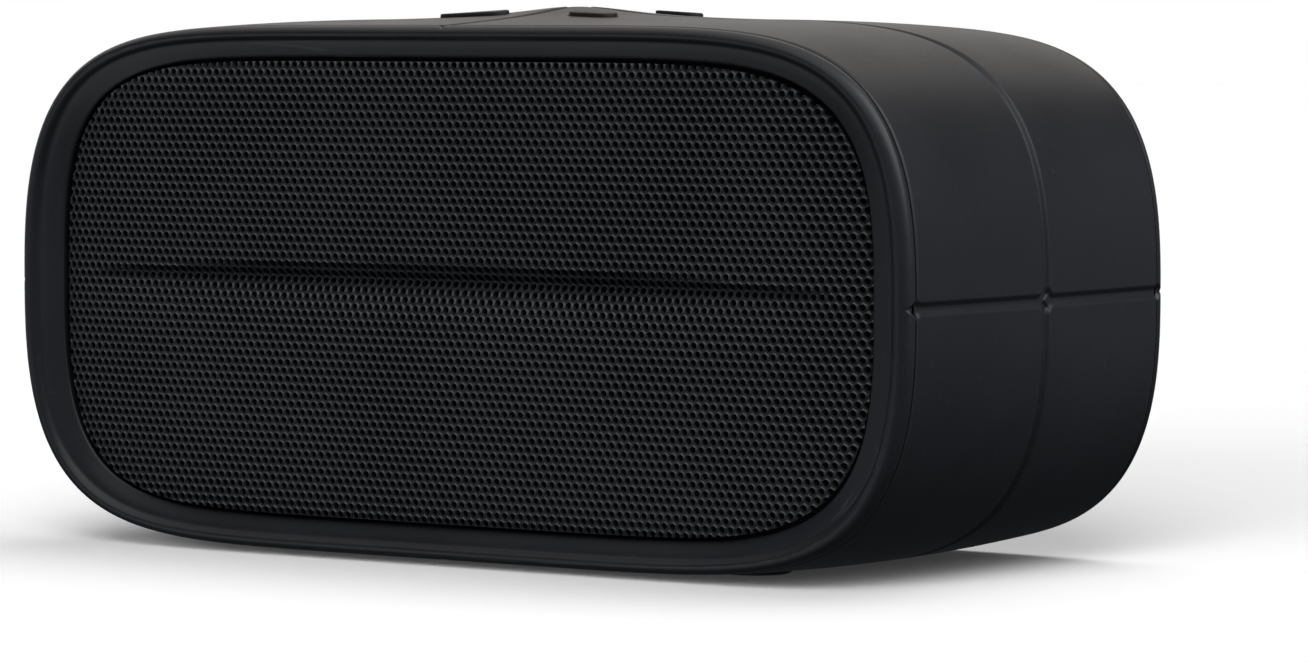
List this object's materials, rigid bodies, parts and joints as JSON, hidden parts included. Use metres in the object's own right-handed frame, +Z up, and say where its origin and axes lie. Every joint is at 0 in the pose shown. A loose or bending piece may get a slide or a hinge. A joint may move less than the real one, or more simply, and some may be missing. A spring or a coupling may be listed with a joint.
{
  "type": "portable speaker",
  "caption": "Rubber-sleeved portable wireless speaker with a creased perforated front grille, raised top keys, rear passive radiator and a hinged port flap.",
  "frame": {"origin": "on the surface the feet stand on, under the middle of the body", "axes": "+X to the right seen from the front, the grille faces -Y, +Z up"},
  "size_m": [0.1916, 0.0804, 0.0952],
  "materials": {
    "sleeve_rubber": "soft-touch matt black",
    "key_rubber": "matt black",
    "foot_rubber": "matt black",
    "bezel_plastic": "satin black",
    "grille_metal": "satin black powder coat on perforated steel",
    "cloth": "black acoustic cloth",
    "inner_plastic": "matt black",
    "driver_steel": "zinc-plated pressed steel",
    "magnet_ferrite": "dark sintered ferrite",
    "cone_paper": "black pressed paper",
    "surround_rubber": "satin black",
    "coil_copper": "lacquered copper wire",
    "board_green": "green solder mask",
    "chip_black": "matt black",
    "socket_metal": "nickel-plated steel",
    "cell_wrap": "blue shrink wrap",
    "screw_steel": "blackened steel",
    "lens_clear": "clear light pipe"
  },
  "bodies": {
    "body": {"outer_sleeve": "sleeve_rubber", "front_bezel": "bezel_plastic", "rear_bezel": "bezel_plastic", "front_grille": "grille_metal", "dust_cloth": "cloth", "inner_housing": "inner_plastic", "driver_baffle": "inner_plastic", "baffle_screw_1": "screw_steel", "baffle_screw_2": "screw_steel", "baffle_screw_3": "screw_steel", "baffle_screw_4": "screw_steel", "left_driver_frame": "driver_steel", "left_driver_magnet": "magnet_ferrite", "left_driver_surround": "surround_rubber", "right_driver_frame": "driver_steel", "right_driver_magnet": "magnet_ferrite", "right_driver_surround": "surround_rubber", "rear_panel": "bezel_plastic", "rear_screw_1": "screw_steel", "rear_screw_2": "screw_steel", "rear_screw_3": "screw_steel", "rear_screw_4": "screw_steel", "rear_screw_5": "screw_steel", "rear_screw_6": "screw_steel", "radiator_surround": "surround_rubber", "port_bay": "inner_plastic", "usb_socket": "socket_metal", "aux_socket": "chip_black", "status_light": "lens_clear", "main_board": "board_green", "bluetooth_module": "chip_black", "amplifier_chip": "chip_black", "battery_cell_upper": "cell_wrap", "battery_cell_lower": "cell_wrap", "battery_tray": "inner_plastic", "key_board": "board_green", "power_switch": "chip_black", "play_switch": "chip_black", "volume_down_switch": "chip_black", "volume_up_switch": "chip_black", "foot_front_left": "foot_rubber", "foot_front_right": "foot_rubber", "foot_rear_left": "foot_rubber", "foot_rear_right": "foot_rubber"},
    "left_cone": {"left_driver_cone": "cone_paper", "left_driver_dust_cap": "cone_paper", "left_driver_voice_coil": "coil_copper"},
    "right_cone": {"right_driver_cone": "cone_paper", "right_driver_dust_cap": "cone_paper", "right_driver_voice_coil": "coil_copper"},
    "radiator": {"radiator_plate": "bezel_plastic"},
    "flap": {"port_flap": "key_rubber"},
    "power_key": {"power_key": "key_rubber"},
    "play_key": {"play_key": "key_rubber"},
    "volume_down_key": {"volume_down_key": "key_rubber"},
    "volume_up_key": {"volume_up_key": "key_rubber"}
  },
  "joints": [
    {"name": "left_cone_travel", "type": "slide", "parent": "body", "child": "left_cone", "axis": [0, -1, 0], "range_m": [-0.0015, 0.0015], "stiffness_N_per_m": 2500},
    {"name": "right_cone_travel", "type": "slide", "parent": "body", "child": "right_cone", "axis": [0, -1, 0], "range_m": [-0.0015, 0.0015], "stiffness_N_per_m": 2500},
    {"name": "radiator_travel", "type": "slide", "parent": "body", "child": "radiator", "axis": [0, 1, 0], "range_m": [-0.002, 0.002], "stiffness_N_per_m": 1500},
    {"name": "flap_hinge", "type": "hinge", "parent": "body", "child": "flap", "pos_m": [-0.062, 0.0382, 0.0391], "axis": [-1, 0, 0], "range_deg": [0, 110]},
    {"name": "power_press", "type": "slide", "parent": "body", "child": "power_key", "axis": [0, 0, -1], "range_m": [0, 0.0005], "stiffness_N_per_m": 2500},
    {"name": "play_press", "type": "slide", "parent": "body", "child": "play_key", "axis": [0, 0, -1], "range_m": [0, 0.0005], "stiffness_N_per_m": 2500},
    {"name": "volume_down_press", "type": "slide", "parent": "body", "child": "volume_down_key", "axis": [0, 0, -1], "range_m": [0, 0.0005], "stiffness_N_per_m": 2500},
    {"name": "volume_up_press", "type": "slide", "parent": "body", "child": "volume_up_key", "axis": [0, 0, -1], "range_m": [0, 0.0005], "stiffness_N_per_m": 2500}
  ]
}
